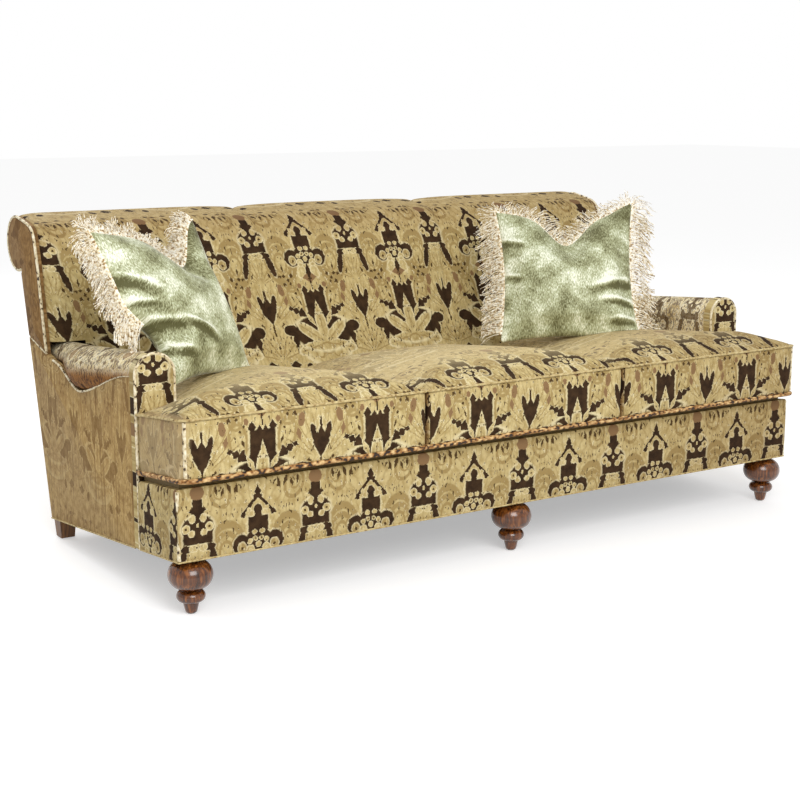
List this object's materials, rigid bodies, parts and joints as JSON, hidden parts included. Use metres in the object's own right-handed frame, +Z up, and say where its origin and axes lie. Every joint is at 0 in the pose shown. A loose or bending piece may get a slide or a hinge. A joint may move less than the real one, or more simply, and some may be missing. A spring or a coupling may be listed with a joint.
{
  "type": "upholstered sofa",
  "caption": "Three-seat fabric sofa with low rolled arms, a scrolled back, loose seat cushions, two fringed scatter pillows and turned wooden front feet",
  "frame": {"origin": "middle of the sofa's bounding box in plan, on the floor under its glides", "axes": "+X to the right of someone who faces the sofa's front and its longest extent, the front faces -Y, +Z up"},
  "size_m": [2.264, 1.2346, 1.0276],
  "materials": {
    "damask_fabric": "gold and brown damask weave, two-tone, slightly lustrous",
    "crushed_velvet": "pale sage crushed velvet with a soft sheen",
    "fringe_yarn": "cream and gold brush fringe",
    "deck_cloth": "plain woven deck cloth over felt",
    "dust_cloth": "thin black dust cover cloth",
    "frame_hardwood": "bare sawn hardwood",
    "turned_foot": "polished reddish brown turned hardwood",
    "rear_leg_wood": "satin brown stained hardwood",
    "spring_steel": "plain spring wire",
    "bolt_steel": "plated hanger bolt",
    "glide_steel": "worn pressed steel glide"
  },
  "bodies": {
    "frame": {"front_rail": "frame_hardwood", "back_rail": "frame_hardwood", "side_rail_left": "frame_hardwood", "side_rail_right": "frame_hardwood", "seat_stretcher_left": "frame_hardwood", "seat_stretcher_right": "frame_hardwood", "back_post_left": "frame_hardwood", "back_post_right": "frame_hardwood", "back_top_rail": "frame_hardwood", "back_tuck_rail": "frame_hardwood", "arm_board_left": "frame_hardwood", "arm_board_right": "frame_hardwood", "arm_post_left": "frame_hardwood", "arm_post_right": "frame_hardwood", "foot_block_left": "frame_hardwood", "foot_block_centre": "frame_hardwood", "foot_block_right": "frame_hardwood", "seat_springs": "spring_steel", "seat_deck": "deck_cloth", "dust_cover": "dust_cloth", "foot_front_left": "turned_foot", "foot_front_centre": "turned_foot", "foot_front_right": "turned_foot", "foot_bolt_left": "bolt_steel", "foot_bolt_centre": "bolt_steel", "foot_bolt_right": "bolt_steel", "rear_leg_left": "rear_leg_wood", "rear_leg_centre": "rear_leg_wood", "rear_leg_right": "rear_leg_wood", "glide_front_left": "glide_steel", "glide_front_centre": "glide_steel", "glide_front_right": "glide_steel", "glide_rear_left": "glide_steel", "glide_rear_centre": "glide_steel", "glide_rear_right": "glide_steel", "front_border": "damask_fabric", "arm_left": "damask_fabric", "arm_right": "damask_fabric", "arm_front_left": "damask_fabric", "arm_front_right": "damask_fabric", "outside_arm_left": "damask_fabric", "outside_arm_right": "damask_fabric", "inside_back_left": "damask_fabric", "inside_back_middle": "damask_fabric", "inside_back_right": "damask_fabric", "back_side_left": "damask_fabric", "back_side_right": "damask_fabric", "outside_back": "damask_fabric"},
    "cushion_left": {"seat_cushion_left": "damask_fabric"},
    "cushion_middle": {"seat_cushion_middle": "damask_fabric"},
    "cushion_right": {"seat_cushion_right": "damask_fabric"},
    "scatter_left": {"pillow_left": "crushed_velvet", "pillow_fringe_left": "fringe_yarn"},
    "scatter_right": {"pillow_right": "crushed_velvet", "pillow_fringe_right": "fringe_yarn"}
  },
  "joints": [
    {"name": "cushion_left_pull", "type": "slide", "parent": "frame", "child": "cushion_left", "axis": [0, -0.9937, 0.1118], "range_m": [0, 0.25]},
    {"name": "cushion_middle_pull", "type": "slide", "parent": "frame", "child": "cushion_middle", "axis": [0, -0.9937, 0.1118], "range_m": [0, 0.25]},
    {"name": "cushion_right_pull", "type": "slide", "parent": "frame", "child": "cushion_right", "axis": [0, -0.9937, 0.1118], "range_m": [0, 0.25]},
    {"name": "scatter_left_lift", "type": "slide", "parent": "cushion_left", "child": "scatter_left", "axis": [0, 0, 1], "range_m": [0, 0.3]},
    {"name": "scatter_right_lift", "type": "slide", "parent": "cushion_right", "child": "scatter_right", "axis": [0, 0, 1], "range_m": [0, 0.3]}
  ]
}
